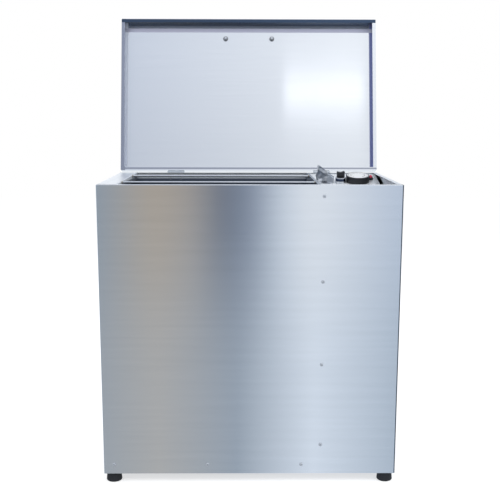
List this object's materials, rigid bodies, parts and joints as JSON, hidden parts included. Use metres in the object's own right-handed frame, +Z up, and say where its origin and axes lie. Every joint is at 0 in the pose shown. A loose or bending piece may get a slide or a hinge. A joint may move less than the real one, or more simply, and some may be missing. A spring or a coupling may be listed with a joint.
{
  "type": "film drying cabinet",
  "caption": "Stainless film drying cabinet with a hinged lid, hanger rails over a heated chamber, and a sloping control deck.",
  "frame": {"origin": "on the floor, under the middle of the cabinet body, between the four feet", "axes": "+Z up; +Y from the front panel to the rear panel; +X towards the control deck"},
  "size_m": [0.6, 0.503, 0.9698],
  "materials": {
    "brushed_stainless": "stainless sheet, vertical brushed grain",
    "bright_stainless": "bright drawn stainless bar and strip",
    "zinc_steel": "zinc-plated steel",
    "black_rubber": "moulded rubber",
    "black_plastic": "moulded, fine matt",
    "dial_white": "printed disc",
    "copper_tube": "drawn copper",
    "chrome_bezel": "polished plate",
    "red_lens": "clear red moulding",
    "black_paint": "black enamel",
    "heater_sheath": "heat-tinted stainless tube",
    "brass_bush": "turned brass",
    "cream_plastic": "moulded"
  },
  "bodies": {
    "cabinet": {"front_panel": "brushed_stainless", "left_panel": "brushed_stainless", "right_panel": "brushed_stainless", "rear_panel": "brushed_stainless", "base_pan": "brushed_stainless", "equipment_floor": "brushed_stainless", "partition": "brushed_stainless", "chamber_floor": "brushed_stainless", "hanger_rail_front": "bright_stainless", "hanger_rail_rear": "bright_stainless", "control_deck": "brushed_stainless", "air_deflector": "brushed_stainless", "foot_front_left": "black_rubber", "foot_front_right": "black_rubber", "foot_rear_left": "black_rubber", "foot_rear_right": "black_rubber", "foot_bolts": "zinc_steel", "hinge_body_leaf_left": "bright_stainless", "hinge_body_leaf_right": "bright_stainless", "hinge_pin_left": "bright_stainless", "hinge_pin_right": "bright_stainless", "hinge_screws_body": "zinc_steel", "thermostat_body": "black_plastic", "capillary_tube": "copper_tube", "sensor_bulb": "copper_tube", "bulb_clips": "zinc_steel", "selector_bezel": "chrome_bezel", "selector_body": "black_plastic", "pilot_lamp": "black_plastic", "pilot_lens": "red_lens", "pilot_nut": "zinc_steel", "blower_housing": "zinc_steel", "blower_motor": "black_paint", "blower_stand": "zinc_steel", "heater_element": "heater_sheath", "heater_bushes": "brass_bush", "heater_bracket": "zinc_steel", "terminal_block": "cream_plastic", "mains_gland": "black_plastic", "gland_nut": "black_plastic", "partition_screws": "zinc_steel", "base_screws": "zinc_steel", "rear_panel_screws": "zinc_steel"},
    "lid": {"lid_pan": "brushed_stainless", "lid_handle": "bright_stainless", "handle_nuts": "zinc_steel", "hinge_lid_leaf_left": "bright_stainless", "hinge_lid_leaf_right": "bright_stainless", "hinge_screws_lid": "zinc_steel"},
    "dial": {"thermostat_dial": "black_plastic", "dial_face": "dial_white", "thermostat_shaft": "zinc_steel"},
    "selector": {"selector_knob": "black_plastic"},
    "blower": {"blower_wheel": "zinc_steel", "blower_shaft": "bright_stainless"}
  },
  "joints": [
    {"name": "lid_hinge", "type": "hinge", "parent": "cabinet", "child": "lid", "pos_m": [0, 0.184, 0.61575], "axis": [1, 0, 0], "range_deg": [0, 103.5]},
    {"name": "dial_turn", "type": "hinge", "parent": "cabinet", "child": "dial", "pos_m": [0.246, 0.1125, 0.59891], "axis": [0, -0.2079, 0.9781], "range_deg": [-270, 0]},
    {"name": "selector_turn", "type": "hinge", "parent": "cabinet", "child": "selector", "pos_m": [0.2065, 0.1055, 0.59742], "axis": [0, -0.2079, 0.9781], "range_deg": [-45, 45]},
    {"name": "blower_spin", "type": "hinge", "parent": "cabinet", "child": "blower", "pos_m": [0.219, 0, 0.114], "axis": [0, 1, 0], "continuous": true}
  ]
}
